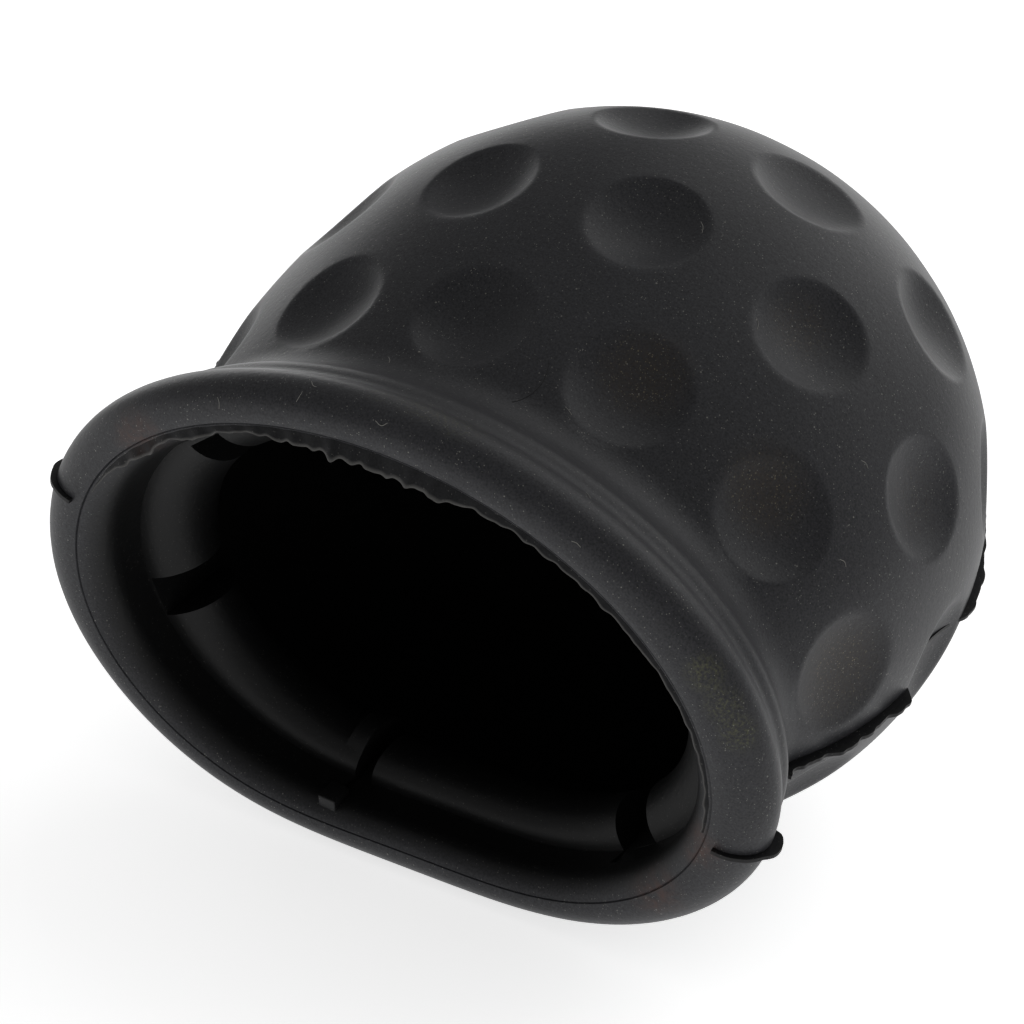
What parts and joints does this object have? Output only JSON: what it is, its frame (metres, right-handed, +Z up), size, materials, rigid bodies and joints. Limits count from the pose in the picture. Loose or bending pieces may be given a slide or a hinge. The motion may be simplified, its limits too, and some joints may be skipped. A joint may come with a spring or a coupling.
{
  "type": "tow ball cover",
  "caption": "Black moulded rubber cap that pushes over a tow ball, with a dimpled dome, an oval rolled mouth and a notched ring inside that grips under the ball.",
  "frame": {"origin": "Centre of the bounding box's base: the cap lies on its side on Z = 0, as in the picture.", "axes": "+X runs along the long way across the oval mouth. +Y runs from the mouth towards the top of the dome, seen from above. +Z is up. The cap's own axis points up towards the dome by about 16 degrees, because it rests on its lower lip and on its dome."},
  "size_m": [0.0762, 0.081, 0.0656],
  "materials": {
    "rubber": "matte moulded rubber with a soft sheen, dusted and slightly soiled"
  },
  "bodies": {
    "root": {"cover": "rubber"}
  },
  "joints": []
}
